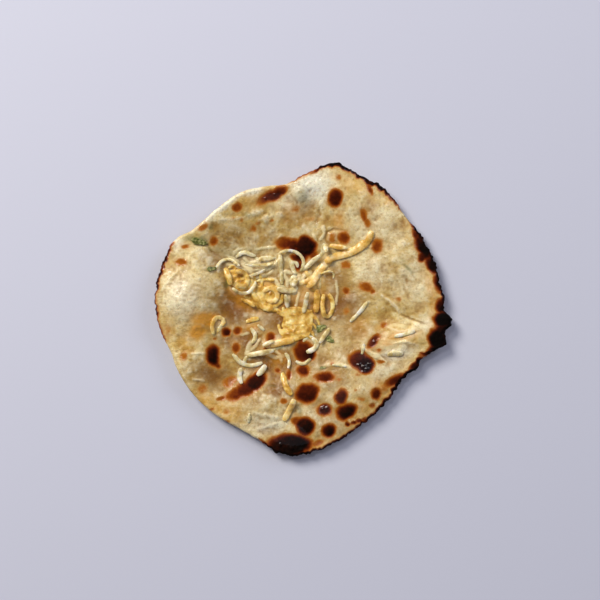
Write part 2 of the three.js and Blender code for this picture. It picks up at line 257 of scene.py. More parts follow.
# Where the crust touched the hot clay: place, half-length, half-width, turn and how dark:
# 1 is black, and more than 1 stays black further out.
SCORCH = [
    (-20, 79.5, 10.5, 3.6, 30, .78), (-13, 83, 4, 3, 20, .72), (-43.5, 71.5, 3.6, 3, 20, .62),
    (-67, 57.5, 4.5, 2.4, 20, .4), (-59.5, 48.5, 3, 3.7, 0, .55), (-79, 44.5, 3, 1.8, 0, .46),
    (-82.5, 33, 4.5, 3, 0, .46), (-32.5, 57.5, 3, 2.4, 40, .38), (-29, 61, 3, 1.3, 30, .28),
    (-40.5, 62.5, 1.6, 1.5, 0, .32), (-20, 62, 1.6, 1.4, 0, .33), (-47, 64, 1.3, 1.2, 0, .26),
    (-11, 46.5, 6.2, 4.2, 0, .68), (-5, 45.6, 4.4, 4, 0, .84), (1, 37.4, 4, 4, 0, .86),
    (3.5, 44.5, 7.4, 7.4, 0, .97), (9, 38.5, 3.4, 2.6, 40, .62),
    (-3, 36.5, 3.6, 2.2, -20, .8), (-1, 31.5, 3, 3.6, 0, .72), (-3, 70, 3.4, 2.6, 0, .3),
    (24.2, 78, 5.3, 6.1, 0, .84), (44.3, 66, 2.9, 4.6, 10, .56), (46.6, 60.5, 2.6, 2.6, 0, .46),
    (22.5, 50.5, 3.6, 4, 0, .36), (30.5, 50.5, 3.8, 4.6, 0, .66), (53.4, 44.8, 4, 5.2, 0, .6),
    (31.5, 32, 3.2, 2.4, 0, .42), (32.2, 13.8, 2.6, 2.4, 0, .58),
    (45.6, 16.4, 4.8, 3.1, -20, .54), (50.3, 13, 2.2, 2.1, 0, .54), (69, 7, 2.2, 1.5, 0, .34),
    (32.5, -.5, 2, 2.4, 0, .32), (26, 92, 2, 2, 0, .36), (7.5, 63, 4, 1.5, 0, .24),
    (-51.5, -15.5, 3.2, 3.2, 0, .9), (-43.5, -14, 2.7, 2.8, 0, .68), (-60.5, -31.6, 5, 7, 8, 1.0),
    (-57.6, -38.5, 2.2, 2.6, 20, .7), (-44.5, -26.5, 2.8, 4, 0, .64), (-60, -19.5, 1.6, 1.2, 0, .4),
    (-21, -19, 3.6, 3, 20, .68), (-23.5, -26.8, 2.2, .9, 0, .62), (-31.2, -49.4, 7.4, 5.4, 38, .9),
    (-37.5, -54, 8.5, 4.9, 30, .8), (-45.5, -58, 6.6, 3.9, 24, .68), (-55, -61.5, 3, 1.6, 8, .5),
    (-68, -55, 4, 3.5, 0, .36),
    (-81, -32, 3, 4, 0, .36), (-60.5, -69, 2, 1.2, 0, .42), (-51, -70, 2.2, 2, 0, .32),
    (-51, -77, 2.2, 1.3, 0, .38), (-11.5, -62.5, 2.2, 2, 0, .52), (-15.5, -42.5, 2.2, 2, 0, .6),
    (-8, -44.5, 2, 3.4, 0, .62), (-92, -14, 2, 4, 0, .26), (2.6, -29, 7, 7.4, 0, .8),
    (1, -21, 1.6, 3.2, 0, .66), (7, -31, 3.4, 3.6, 0, .95), (2, -42.5, 4.2, 4, 0, .78),
    (17, -46.2, 6.8, 3.4, 6, .78), (4.6, -57.6, 8.2, 6.4, 20, .86), (22.5, -36.5, 2.6, 1.5, 0, .36),
    (41.4, -35, 7.4, 6.6, -30, .84), (45.4, -37.4, 6.4, 6.6, 0, 1.0), (51, -21.5, 6.5, 2.4, 45, .76),
    (56, -35.5, 3, 1.5, -15, .46), (59, -10, 2.8, 2, 15, .46), (29, -59.6, 4.8, 5, 0, .84),
    (32, -70.4, 7, 5, 30, 1.0), (17.2, -69.7, 5, 4.2, 15, .92), (19.8, -84, 4.6, 4.8, 0, 1.0),
    (3.6, -81, 6.4, 6, 0, 1.0), (-2, -77.5, 4, 3.2, 0, .62), (52.4, -58.4, 3.5, 3.6, 0, .84),
    (57.5, -55, 4, 3, 0, .3), (49, -66, 2.2, 1.6, 0, .52), (42.5, -61.5, 2.2, 1.8, 0, .34),
    (39, -54.5, 1.3, 1.2, 0, .32), (27, -47.5, 2, 1.2, 0, .34), (40, -45, 2, 1.2, 0, .32),
    (55, -27, 1.8, 1.4, 0, .42), (33, -78.5, 1.9, 1.6, 0, .8), (37.5, -78.6, 2.2, 1.5, 0, .84),
    (41, -77, 2.2, 1.6, 0, .78), (44.6, -76.6, 2, 1.7, 0, .7), (-49.5, -49.5, 5.6, 3.6, 20, .46),
    (66, -48.5, 8, 3.6, 22, .84), (49, -82, 3.2, 5, 60, .62), (48.5, 84.5, 1.6, 4.6, 15, .66),
    (-7.5, -94.5, 15, 7.2, 8, 1.05), (-15.5, -92, 8.2, 4.6, 22, .88), (12, -93, 5.5, 1.8, 20, .5),
    (85.6, 45, 4.6, 9.6, 22, 1.05), (84, 37, 3, 3.4, 0, .84), (91.6, 32.5, 3.7, 7, 24, 1.0),
    (97, 19, 4, 6.6, 14, 1.0), (99.5, -6, 6.7, 5.7, 0, 1.2), (95.5, -20, 6.2, 7, 25, 1.2),
    (99, -13.5, 5.4, 4.4, 0, 1.0), (97, 3, 3.4, 5, 0, .95), (80, 53, 2.2, 4, 30, .8),
    (92, -27.5, 4, 3.4, 40, .95), (80, -38.6, 4, 2.2, 45, .95),
    (-93, 35.5, 1.4, 2.4, 20, .9), (-94.6, 30.5, 1.3, 2.6, 20, .86), (-96, 26.5, 1, 1.6, 0, .84),
]

# Burnt stretches of the rim: from and to in degrees, width in millimetres, how dark.
BURNT_RIM = [
    (53, 82, 2.6, 1.0), (47, 54, 1.4, .85), (81, 92, .9, .55), (22, 36, 1.8, .9), (-2, 22, 2.2, .95),
    (-20, -2, 4.6, 1.0), (-32, -24.5, 3.2, 1.0), (-42, -32, 2.2, .94), (-58, -42, 1.9, .88),
    (-86, -60, 1.6, .84), (-104, -86, 2.4, .97), (155, 172, 1.5, .86), (172, 183, 1.3, .8),
    (183, 193, .9, .5),
]

# Rough burnt lumps that stand out from the rim: direction in degrees, half-width in degrees, how far.
RIM_LUMPS = [(-4.4, 3.2, 2.6), (-12.4, 3.2, 2.2), (-26, 2.2, 1.4)]


def rim_outline(angle):
    """The rim with its unevenness: gentle waves, small nicks and crumbly burnt stretches."""
    out = reach(angle)
    ax, ay = out * np.cos(angle), out * np.sin(angle)
    out = out + 0.5 * rough(ax, ay, 9, SEED) + 0.22 * rough(ax, ay, 2.6, SEED + 5)
    degrees = np.degrees(angle)
    for at, wide, high in RIM_LUMPS:
        off = (degrees - at + 180) % 360 - 180
        out = out + high * np.exp(-(off / wide) ** 4)
    burnt = rim_burn(angle)
    return out + burnt * (0.5 + 1.3 * rough(ax, ay, 2.6, SEED + 9, 2))


TAPER_INSIDE, TAPER_BEYOND = 1.5, 5          # degrees of taper on each side of the end of a stretch


def along_rim(degrees, start, end):
    """1 on a stretch of the rim, fading to 0 over its tapered ends."""
    middle, half = (start + end) / 2, (end - start) / 2
    off = np.abs((degrees - middle + 180) % 360 - 180)
    return 1 - smooth(half - TAPER_INSIDE, half + TAPER_BEYOND, off)


def rim_burn(angle):
    """How burnt the rim is in each direction, 0 to 1."""
    burn = np.zeros(np.shape(angle))
    for start, end, _, dark in BURNT_RIM:
        burn = np.maximum(burn, dark * along_rim(np.degrees(angle), start, end))
    return burn


def scorch_map(x, y):
    """How dark the crust is baked: 0 pale dough, .5 brown, 1 black."""
    wob_x = x + 1.4 * rough(x, y, 7, SEED + 20, 2) + 0.3 * rough(x, y, 2.2, SEED + 24)
    wob_y = y + 1.4 * rough(x, y, 7, SEED + 30, 2) + 0.3 * rough(x, y, 2.2, SEED + 34)
    scorch = np.zeros(x.shape)
    for px, py, a, b, turn, dark in SCORCH:
        near = np.hypot(x - px, y - py) < 2.2 * max(a, b) + 4
        d = oval(wob_x[near], wob_y[near], (px, py), (a, b), turn)
        inward = (1 - d) * min(a, b)
        soft = min(2.4, 0.6 * min(a, b))
        # Painted shade: each spot is drawn a little darker towards its lower right, away from the light, and
        # lighter towards its upper left.
        shade_lean = np.clip(((x[near] - px) - (y[near] - py)) / (2.2 * min(a, b)), -1, 1)
        spot = dark * (0.87 + 0.13 * shade_lean) * smooth(-1.15 * soft, 1.05 * soft, inward)
        halo = 0.17 * min(1, dark * 1.4) * smooth(-3.8, 0, inward)
        joined = scorch[near] + (1 - scorch[near]) * spot * 0.3
        scorch[near] = np.maximum(joined, np.maximum(spot, halo))
    angle = np.arctan2(y, x)
    inward = rim_outline(angle) - np.hypot(x, y)
    degrees = np.degrees(angle) + 2.5 * rough(x, y, 6, SEED + 42, 2)
    uneven = 1 + 0.3 * np.minimum(rough(x, y, 4, SEED + 43), 0)
    for start, end, wide, dark in BURNT_RIM:
        on = along_rim(degrees, start, end)
        width = wide * (0.8 + 0.5 * rough(x, y, 5, SEED + 40))
        band = dark * uneven * on * (1 - smooth(width * 0.75, width * 1.3 + 0.5, inward))
        toast = 0.26 * on * (1 - smooth(width, width + 3.2, inward))
        scorch = np.maximum(scorch, np.maximum(band, toast))
    return np.clip(scorch, 0, 1)


# Blisters and folds of the crust: place, half-length, half-width, turn and height in millimetres.
BLISTERS = [
    (22.5, 50.5, 4.6, 5, 0, 1.0), (30.5, 51.5, 4, 4.2, 0, .7), (3.5, 44.5, 8, 8, 0, .6),
    (24.5, 78, 7, 7.6, 0, .6), (0, 81, 6, 6.5, 0, 1.3), (-50, -49, 6, 4, 20, -.6),
    (-46, -50.5, 2.4, 1.6, 20, .7), (44, -37, 6.5, 6, 0, .7), (28.5, -58.5, 5, 4.5, 0, .7),
    (17, -69.5, 4.2, 4, 0, .8), (32, -70, 7, 4.6, 30, .25), (20, -83.5, 4.6, 4.8, 0, .2),
    (4, -80.5, 7, 6, 0, .25), (5, -57, 8, 6.5, 20, .3), (-36, -52, 11, 4.4, 30, .2),
    (-60.5, -32, 5, 7, 8, .3), (-20, 79.5, 10, 4, 30, .6), (-88, 8, 8, 9, 0, .4),
    (52.5, -58.5, 3.6, 3.4, 0, .7), (57.5, -55, 4.5, 3.6, 0, .6), (40, -77.4, 7.5, 2, 12, .7),
    (98, -6, 4, 3, 20, .8), (94, -20, 3.4, 4, 25, .9), (-8, -94, 13, 6, 8, .9),
    (0, -70, 3, 4, 0, .4), (-70, -11, 7, 6, 0, .6), (-21, -63, 9, 6, 20, .5),
    (12, 88, 9, 6, 0, .5), (70, 40, 12, 9, 30, .4), (60, 62, 10, 7, 45, .4),
    (-30, 68, 9, 5, 30, .4), (-70, 40, 7, 4, -20, .5), (80, -12, 7, 3, 10, .5),
    (66, -29, 8, 2.4, 5, .6), (-24, 64, 4, 3, 0, .5), (37, 8, 6, 3.6, 20, .4),
    (-80, -35, 5, 6, 0, .5), (-14, 66, 4, 3, 30, .5), (41, -37.6, 1.7, 1.2, 20, 1),
    (44.4, -38.6, 1.4, 1.2, 0, 1), (46.4, -40.4, 1.3, 1.1, 30, 1), (48, -37.2, 1.2, 1, 0, .8),
    (44, -42.6, 1.3, 1, 0, .8), (25.6, -58.4, 1.8, 1.2, 60, 1), (15.4, -68.4, 1.8, 1.2, 30, 1),
    (18.8, -68, 1.3, 1, 0, .8), (-14, -94, 2, 1.3, 20, 1), (-6, -96, 2, 1.4, -15, 1.1),
    (1, -97, 2, 1.2, 10, 1), (51.6, -22, 1.5, 1, 45, .8), (3.4, 40, 1.6, 1, 20, .7),
    (-17.6, 80.4, 1.6, 1, 30, .9),
    (-24, 77.4, 1.4, 1, 30, .8), (-21, 80.6, 1.1, .9, 0, .7),
]

# Broad puffs and hollows that the bread sagged into as it cooled: place, half-length, half-width,
# turn and height in millimetres.
PUFFS = [
    (-76, 8, 22, 20, 0, 2.6), (-46, 2, 13, 16, 20, -2.0), (-24, -66, 16, 9, 20, .6),
    (-48, -43, 16, 8, 25, -.4),
    (-8, -40, 12, 10, 0, -1.2), (12, -34, 10, 8, 0, -.8), (36, -50, 16, 12, -30, 1.2),
    (10, -66, 14, 6, 0, -1.0),
    (-42, 52, 22, 8, 30, -1.2), (-24, 64, 12, 5, 20, 1.0), (6, 66, 7, 9, 0, -.9), (-68, 36, 9, 7, 0, 1.0),
    (72, -16, 14, 6, 5, 1.0), (52, -6, 12, 8, 0, -.7), (62, 34, 16, 20, 0, .9), (28, 8, 12, 12, 0, -.8),
    (26, 58, 9, 10, 0, -.8), (-66, -34, 8, 10, 0, .9), (-34, -14, 10, 12, 0, -.9), (0, 88, 10, 6, 0, .8),
    (20, -88, 12, 5, 15, -.7), (88, 12, 5, 16, 0, .5), (-42, -41, 10, 9, 0, .9),
]

# Creases: route in millimetres, half-width and height.
CREASES = [
    ([(57, 10), (63, 6), (70, -2)], 1.4, .8), ([(70, -3), (80, -7), (88, -10)], .8, -.9),
    ([(-20, -52), (-16, -53.5)], .9, -.7), ([(-18, -56), (-13, -60)], .8, -.7),
    ([(-65, 49), (-64, 45), (-62, 41), (-58, 38)], .8, -.6), ([(-84, 28), (-90, 21), (-95, 15)], 1, .5),
    ([(20, 45), (18, 49), (19, 54), (24, 56.4), (31, 55)], .9, -.9),
    ([(-52, 22), (-48, 17), (-46, 14)], 1, -1.0),
    ([(-60, 62), (-40, 64), (-26, 69)], 1.4, .4), ([(10, 60), (14, 66), (12, 74)], 1.2, -.4),
    ([(-76, -30), (-66, -30)], .9, .5), ([(-74, -48), (-66, -49)], 1.1, .6),
    ([(60, -12), (70, -15), (80, -13)], 1.1, .5), ([(62, -24), (72, -22), (82, -24)], 1.1, .5),
    ([(40, -24), (50, -30), (58, -31)], 1.0, .4), ([(-12, -75), (-24, -73), (-36, -70)], 1.3, .5),
    ([(-30, -83), (-20, -80), (-14, -78)], .9, .4), ([(0, 20), (2, 26), (-4, 24)], 1.2, -.7),
    ([(-54, 23), (-50, 12), (-43, 4), (-34, 0), (-28, -1)], 2.4, -1.3),
]


# Threads of cheese that have melted into the crust: route, half-width and height in millimetres.
THREADS = [
    ([(-57, 27), (-55, 33), (-49, 35.6), (-43.5, 34), (-46, 31), (-51, 31.4)], .8, .6),
    ([(-34, 28), (-28, 27.4), (-23, 28.6), (-18, 31), (-15, 35)], .8, .6),
    ([(-37, 24), (-30, 22.4), (-24, 24.2), (-19, 28)], .8, .5), ([(-40, 33), (-36, 30), (-33, 26)], 1.4, .7),
    ([(-31, 42.5), (-24, 43.4), (-17, 44)], .7, .4), ([(-46, 38), (-44, 42), (-37, 43.6)], .7, .4),
    ([(-28, 32), (-24, 30.4), (-20, 31.6), (-17, 30)], .8, .5), ([(-44, 30), (-38, 28), (-33, 31)], .8, .5),
    ([(-8, 10), (-8.6, 3), (-7, -3)], 1.1, .6), ([(-1, 12), (-2, 5), (-4, -1)], .9, .5),
    ([(25, 20), (26.4, 12), (25, 4)], .8, .4), ([(7, 26), (3, 24), (-1, 20)], 1.4, .8),
    ([(-33, -21), (-36, -26), (-37.4, -32)], 1.3, .6), ([(-22, -31), (-17, -33), (-12, -32)], 1.2, .5),
    ([(-18, -28), (-14, -31), (-13, -36)], .9, .5), ([(-28, -20), (-31, -25), (-35, -28)], 1.0, .5),
    ([(60, -12), (66, -10), (74, -12)], 1.0, .12), ([(62, -22), (68, -22.6), (74, -21)], 1.3, .15),
    ([(59, -27), (65, -25.4), (70, -26)], 1.3, .15), ([(45, -27), (50, -31), (55, -33), (59, -37)], 1.4, .8),
    ([(-3, 26), (1, 23), (3, 18)], 1.2, .7), ([(-13, 24), (-10, 27), (-6, 26)], 1.1, .6),
    ([(-50, 37), (-46, 36), (-43, 32)], .8, .5), ([(-39, 36), (-35, 33), (-30, 34)], .9, .5),
    ([(-12, 26), (-9, 21), (-9, 17)], 1.1, .6), ([(-22, 22), (-17, 20), (-15, 16)], 1.3, .7),
    ([(14, 49), (17, 53), (16, 58)], .9, .5), ([(9, 44), (11, 48), (9, 52)], .8, .5),
    ([(18, -38), (26, -37.4), (34, -39.4)], 1.2, .6), ([(-44, -14), (-40, -17), (-36, -16)], .8, .3),
]

# Thin skin that has wrinkled: place, half-length, half-width, turn and strength.
CRINKLES = [
    (-22, 63, 12, 6, 10, 1), (-44, 46, 24, 12, 10, .75), (-84, 12, 14, 20, 0, 1), (-12, -53, 8, 6, -20, .9),
    (60, 20, 20, 16, 0, .5), (10, 68, 8, 12, 0, .6), (-68, 30, 10, 8, 0, .6), (-30, -66, 16, 8, 20, .5),
    (30, 70, 10, 14, 0, .4), (-80, -36, 6, 14, 10, .6), (70, 2, 14, 8, 20, .6), (24, -44, 16, 8, 0, .4),
    (-56, 64, 16, 4, 35, .6), (2, 82, 8, 6, 0, .8),
]


def patches(x, y, spots, seed):
    """Soft-edged patches with uneven borders, 0 to 1."""
    wx = x + 2.6 * rough(x, y, 7, seed)
    wy = y + 2.6 * rough(x, y, 7, seed + 5)
    total = np.zeros(x.shape)
    for at_x, at_y, a, b, turn, strength in spots:
        d = oval(wx, wy, (at_x, at_y), (a, b), turn)
        total = np.maximum(total, strength * np.exp(-d ** 2.4 * 0.9))
    return np.clip(total, 0, 1)


def thread_map(x, y, full):
    """Melted threads: their height in millimetres, or how much of the crust they cover, 0 to 1."""
    total = np.zeros(x.shape)
    wx, wy = x + 0.7 * rough(x, y, 5, SEED + 84), y + 0.7 * rough(x, y, 5, SEED + 86)
    for route, wide, tall in THREADS:
        middle = np.mean(route, axis=0)
        near = np.hypot(x - middle[0], y - middle[1]) < 22
        d, along = track_distance(wx[near], wy[near], route)
        ends = smooth(0, 0.12, along) * smooth(0, 0.12, 1 - along)
        body = np.sqrt(np.clip(1 - (d / (1.35 * wide)) ** 2, 0, 1)) * (0.6 + 0.4 * ends)
        total[near] = np.maximum(total[near], body * (1.0 if full else tall))
    return total


def random_blisters(count, seed):
    """Small steam blisters scattered over the crust."""
    dice = np.random.RandomState(seed)
    made = []
    for _ in range(count):
        far, angle = SCATTER_REACH * math.sqrt(dice.rand()), dice.rand() * 2 * math.pi
        size = 1.3 + 4.2 * dice.rand() ** 2
        stretch = 0.7 + 0.6 * dice.rand()
        made.append((far * math.cos(angle), far * math.sin(angle), size, size * stretch,
                     dice.rand() * 180, (0.05 + 0.07 * size) * (0.4 + 0.9 * dice.rand())))
    return made


def crust_relief(x, y, scorch):
    """Height of the small forms of the crust above the smooth loaf, in millimetres."""
    bent_x = x + 3 * rough(x, y, 14, SEED + 44)
    bent_y = y + 3 * rough(x, y, 14, SEED + 46)
    high = 1.3 * rough(bent_x, bent_y, 26, SEED + 50, 2) + 0.42 * rough(bent_x, bent_y, 9, SEED + 54, 2)
    wrinkle = 1 - 2.2 * np.abs(rough(bent_x, bent_y, 5.2, SEED + 56, 2))
    patchy = smooth(-0.5, 0.6, rough(x, y, 26, SEED + 57))
    calm = 1 - 0.75 * smooth(0.2, 0.6, scorch)
    high = high + 0.18 * calm * patchy * wrinkle
    skin = 1 - 2.6 * np.abs(rough(bent_x + 0.4 * y, bent_y - 0.3 * x, 3.2, SEED + 66, 2))
    high = high + 0.2 * calm * patches(x, y, CRINKLES, SEED + 68) * skin
    for px, py, a, b, turn, tall in PUFFS:
        high = high + tall * np.exp(-oval(x, y, (px, py), (a, b), turn) ** 2)
    high = high + calm * (0.18 * rough(x, y, 3.2, SEED + 58) + 0.1 * grain(x, y, 1.4, SEED + 62))
    for px, py, a, b, turn, tall in BLISTERS + random_blisters(STEAM_BLISTERS, SEED + 70):
        near = np.hypot(x - px, y - py) < 1.3 * max(a, b)
        d = oval(x[near], y[near], (px, py), (a, b), turn)
        share = calm[near] if max(a, b) > 2 else 1.0
        high[near] += tall * share * np.clip(1 - d * d, 0, 1) ** 1.4
    for route, wide, tall in CREASES:
        d, along = track_distance(x + 0.8 * rough(x, y, 4, SEED + 80), y, route)
        fade = np.sin(math.pi * np.clip(along * 0.9 + 0.05, 0, 1)) ** 0.6
        high = high + tall * fade * np.exp(-(d / wide) ** 2)
    high = high + thread_map(x, y, False)
    burnt = smooth(0.7, 1.0, scorch) * (0.4 + 0.6 * smooth(84, 92, np.hypot(x, y)))
    high = high + burnt * (0.16 + 0.28 * rough(x, y, 2.4, SEED + 90) + 0.16 * grain(x, y, 1.1, SEED + 94))
    return high


def crust_height(x, y):
    """The finished top of the crust: the smooth loaf and its small forms, in millimetres."""
    return smooth_top(x, y) + crust_relief(x, y, scorch_map(x, y))


def disc(cells):
    """A square grid pressed into a unit disc: the share of the radius and the angle of each corner."""
    t = np.linspace(-1, 1, cells + 1)
    a, b = np.meshgrid(t, t)
    wide = np.abs(a) > np.abs(b)
    share = np.where(wide, a, b)
    with np.errstate(divide="ignore", invalid="ignore"):
        angle = np.where(wide, math.pi / 4 * b / a, math.pi / 2 - math.pi / 4 * a / b)
    angle = np.where(share == 0, 0, angle)
    angle = np.where(share < 0, angle + math.pi, angle)
    return np.abs(share), np.arctan2(np.sin(angle), np.cos(angle))


def grid_border(cells):
    """Corner numbers around the edge of a square grid, counter-clockwise."""
    side = cells + 1
    south = [column for column in range(cells)]
    east = [row * side + cells for row in range(cells)]
    north = [cells * side + column for column in range(cells, 0, -1)]
    west = [row * side for row in range(cells, 0, -1)]
    return np.array(south + east + north + west)


def grid_faces(cells, start):
    side = cells + 1
    row, column = np.meshgrid(np.arange(cells), np.arange(cells), indexing="ij")
    corner = (row * side + column).ravel() + start
    return np.stack([corner, corner + 1, corner + side + 1, corner + side], 1)


def smooth_top(x, y):
    return table_value(top_table, x, y)


def smooth_low(x, y):
    return table_value(low_table, x, y)


def spread(cells):
    """A disc of grid corners spread out to the rounded rim: x, y and the angle of each corner."""
    share, angle = disc(cells)
    far = share * (1 - EDGE_SHARE) * rim_outline(angle)
    return (far * np.cos(angle)).ravel(), (far * np.sin(angle)).ravel(), angle.ravel()


x, y, angle = spread(ACROSS)
top_z = crust_height(x, y)
top_ring = grid_border(ACROSS)

low_x, low_y, _ = spread(ACROSS // 2)
lifted = smooth(0.0, 1.2, smooth_low(low_x, low_y))
low_z = np.maximum(smooth_low(low_x, low_y), 0.0)
low_z = low_z + lifted * 0.35 * rough(low_x, low_y, 8, SEED + 100)
low_z = np.maximum(low_z + 0.12 * np.abs(rough(low_x, low_y, 6, SEED + 104)), 0.0)
low_ring = grid_border(ACROSS // 2)

# The rounded rim: rings between the last ring of the top and the underside.
ring_angle = angle[top_ring]
ring_out = rim_outline(ring_angle)
ring_top = top_z[top_ring]
ring_low = np.interp(np.arange(len(top_ring)), np.arange(0, len(top_ring), 2), low_z[low_ring],
                     period=len(top_ring))
rim_points = []
for step in range(1, RIM_STEPS):
    turn = math.pi / 2 - math.pi * step / RIM_STEPS
    far = ring_out * (1 - EDGE_SHARE + EDGE_SHARE * math.cos(turn))
    crumb = rim_burn(ring_angle) * math.cos(turn)
    height = (ring_top + ring_low) / 2 + (ring_top - ring_low) / 2 * math.sin(turn)
    px, py = far * np.cos(ring_angle), far * np.sin(ring_angle)
    far = far + crumb * 0.7 * grain(px + 3 * height, py - 3 * height, 1.6, SEED + 110)
    rim_points.append(np.stack([far * np.cos(ring_angle), far * np.sin(ring_angle), height], 1))

top_points = np.stack([x, y, top_z], 1)
low_points = np.stack([low_x, low_y, low_z], 1)
points = np.concatenate([top_points, *rim_points, low_points])
faces = [grid_faces(ACROSS, 0)]
rings = [top_ring] + [len(top_points) + k * len(top_ring) + np.arange(len(top_ring))
                      for k in range(RIM_STEPS - 1)]
for upper, lower in zip(rings, rings[1:]):
    faces.append(np.stack([upper, lower, np.roll(lower, -1), np.roll(upper, -1)], 1))
low_start = len(top_points) + (RIM_STEPS - 1) * len(top_ring)
faces.append(grid_faces(ACROSS // 2, low_start)[:, ::-1])
last, bottom = rings[-1], low_ring + low_start
even, odd, after = last[0::2], last[1::2], np.roll(last, -2)[0::2]
next_bottom = np.roll(bottom, -1)
seam = np.concatenate([
    np.stack([even, bottom, odd], 1), np.stack([odd, bottom, next_bottom], 1),
    np.stack([odd, next_bottom, after], 1)])


def mesh_object(name, points_mm, face_lists):
    """A smooth-shaded object from points in millimetres."""
    mesh = bpy.data.meshes.new(name)
    mesh.from_pydata((points_mm * MM).tolist(), [], [face for faces in face_lists for face in faces.tolist()])
    mesh.validate()
    mesh.update()
    mesh.shade_smooth()
    made = bpy.data.objects.new(name, mesh)
    bpy.context.scene.collection.objects.link(made)
    return made


def store(piece, name, values):
    layer = piece.data.attributes.new(name, "FLOAT", "POINT")
    layer.data.foreach_set("value", np.asarray(values, np.float32))


bread = mesh_object("baked_naan", points, faces + [seam])
px, py = points[:, 0], points[:, 1]
on_top = np.concatenate([np.ones(len(top_points)),
                         np.repeat(1 - np.arange(1, RIM_STEPS) / RIM_STEPS, len(top_ring)),
                         np.zeros(len(low_points))])
store(bread, "scorch", scorch_map(px, py) * smooth(0, 0.3, on_top))
store(bread, "upper", on_top)

# Soft patches of colour: place, half-length, half-width, turn and strength.
GOLDEN = [
    (-66, -6, 9, 5, 0, 1.3), (-71, -14, 5.5, 6.5, 0, 1.3), (-38, 6, 11, 4, -20, .9), (-45, 15, 5, 8, 0, .6),
    (-25, 18, 9, 3, 0, .5), (70, -18, 13, 4, 10, .6), (62, -22, 7, 4, 0, .6), (60, -12, 8, 3, 0, .4),
    (6, 8, 14, 14, 0, .4), (-17, -33, 7, 4, 0, .7), (-24, 2, 10, 4, 0, .8), (27, 63, 4.5, 6.5, 0, .6),
    (16, 4, 5, 8, 0, .5), (-33, -12, 5, 3, 0, .5), (-8, 70, 6, 5, 0, .3), (-36, 76, 5, 4, 0, .3),
    (42, -12, 8, 7, 0, .35), (56, -55, 7, 6, 0, .5), (44, -68, 8, 5, 30, .45), (10, -95, 8, 3, 20, .6),
    (-52, -70, 12, 8, -35, .35), (-92, -14, 5, 6, 0, .4), (-78, -20, 6, 10, 0, .35),
    (-66, -62, 8, 6, -40, .4), (36, 86, 10, 5, -35, .3), (92, 8, 4, 20, 5, .5), (60, 78, 10, 3, -50, .4),
]
# Tanned patches: partly real browning of the crust, partly painted shade on slopes and hollows turned away
# from the light, such as the right flank of the dome and the sunken middle.
TANNED_AND_SHADED = [
    (-46, 2, 15, 17, 10, 1), (-42, -20, 18, 13, 0, .95), (-20, 50, 32, 12, 8, .4), (-50, 50, 18, 12, 30, .5),
    (-6, 20, 14, 12, 0, .6), (10, -35, 18, 12, 0, .6), (-18, -38, 26, 14, 0, 1), (-60, 36, 12, 8, -20, .55),
    (28, 4, 17, 16, 0, .95), (24, 22, 10, 10, 0, .7), (38, -14, 18, 11, 0, .58), (-60, -46, 20, 13, -20, .85),
    (-14, -56, 14, 9, 0, .9), (-32, -58, 20, 10, 15, .5), (-30, 72, 18, 8, 30, .35), (0, 64, 16, 10, 0, .5),
    (65, 30, 22, 26, 0, .15),
    (-4, -6, 30, 20, 0, .95), (10, -62, 14, 8, 0, .5), (52, -58, 12, 8, 30, .4),
    (24, -86, 18, 7, 25, .5), (-4, -70, 8, 8, 0, .4), (34, -30, 14, 9, 0, .5), (-36, 36, 20, 6, 0, .45),
    (-36, -52, 14, 8, 20, .6), (-30, -64, 16, 8, 15, .4), (-30, 12, 10, 12, 0, .6), (12, 34, 8, 8, 0, .4),
    (20, -47, 15, 11, 0, .78), (50, -52, 14, 10, -20, .2), (16, -78, 20, 11, 10, .42),
    (-80, 14, 14, 14, 0, .16),
    (12, 46, 14, 10, 0, .34),
]
# Pale patches: partly paler dough, partly painted highlight on the lit side of the dome, the lifted rim at
# the upper left and other slopes facing the light.
PALE_AND_LIT = [
    (-82, 8, 14, 15, 0, .6), (8, 86, 16, 12, 0, 1), (-6, 76, 9, 8, 0, .5), (52, 26, 12, 14, 0, .35),
    (-86, 46, 5, 6, 0, .7), (34, -54, 20, 12, 20, .2), (24, -76, 12, 8, 20, .3), (60, -40, 14, 7, 20, .5),
    (14, -73, 12, 8, 0, .4), (66, -30, 14, 6, 10, .8), (75, -16, 9, 2, 10, .6), (-22, -80, 16, 8, 0, .55),
    (-32, -66, 10, 5, 20, .15), (88, -10, 7, 8, 0, .5), (45, -33, 16, 8, 0, .3), (50, 60, 22, 16, -30, .35),
    (-55, 70, 22, 2.4, 37, .9), (-33, 83, 12, 2.4, 15, .8), (80, 20, 12, 18, 0, .3), (0, 36, 6, 5, 0, .3),
    (-38, 33, 17, 7, -6, .4),
]
GREEN = [
    (-72, 49, 8, 2.6, -12, .8), (-61, 57.5, 1.8, 2, 0, .9), (-64, 43, 2, 5, 20, .4), (2, 79, 5, 6, 0, .42),
    (75, 28, 3.6, 1, -50, .7), (78, 25, 2, .7, -30, .4), (72, 33, 2.4, .7, -30, .35),
    (-35, 65, 4, 1.2, -10, .5),
    (0, -69, 1.5, 3, 0, .5), (46, -62.5, 3, 1, 15, .6), (16, -40, 3.6, 1.2, 5, .5), (-50, 19, 2.6, 2, 40, .8),
    (37, 80, 4, 4, 0, .3), (-50, 40, 12, 4, -10, .35), (-30, 42, 10, 3, 0, .25), (-8, -44, 2, 2, 0, .3),
    (11, -13, 5, 4, 0, .7), (60, 47, 3, 1, 0, .25), (-20, -52, 5, 1, -15, .35), (36, 52, 2, 3, 0, .2),
]


shown = smooth(0.2, 0.6, on_top)
store(bread, "golden", patches(px, py, GOLDEN, SEED + 120) * shown)
store(bread, "tanned_and_shaded", patches(px, py, TANNED_AND_SHADED, SEED + 130) * shown)
store(bread, "pale", patches(px, py, PALE_AND_LIT, SEED + 140) * shown)
store(bread, "green", patches(px, py, GREEN, SEED + 150) * shown)
store(bread, "thread", thread_map(px, py, True) * shown)
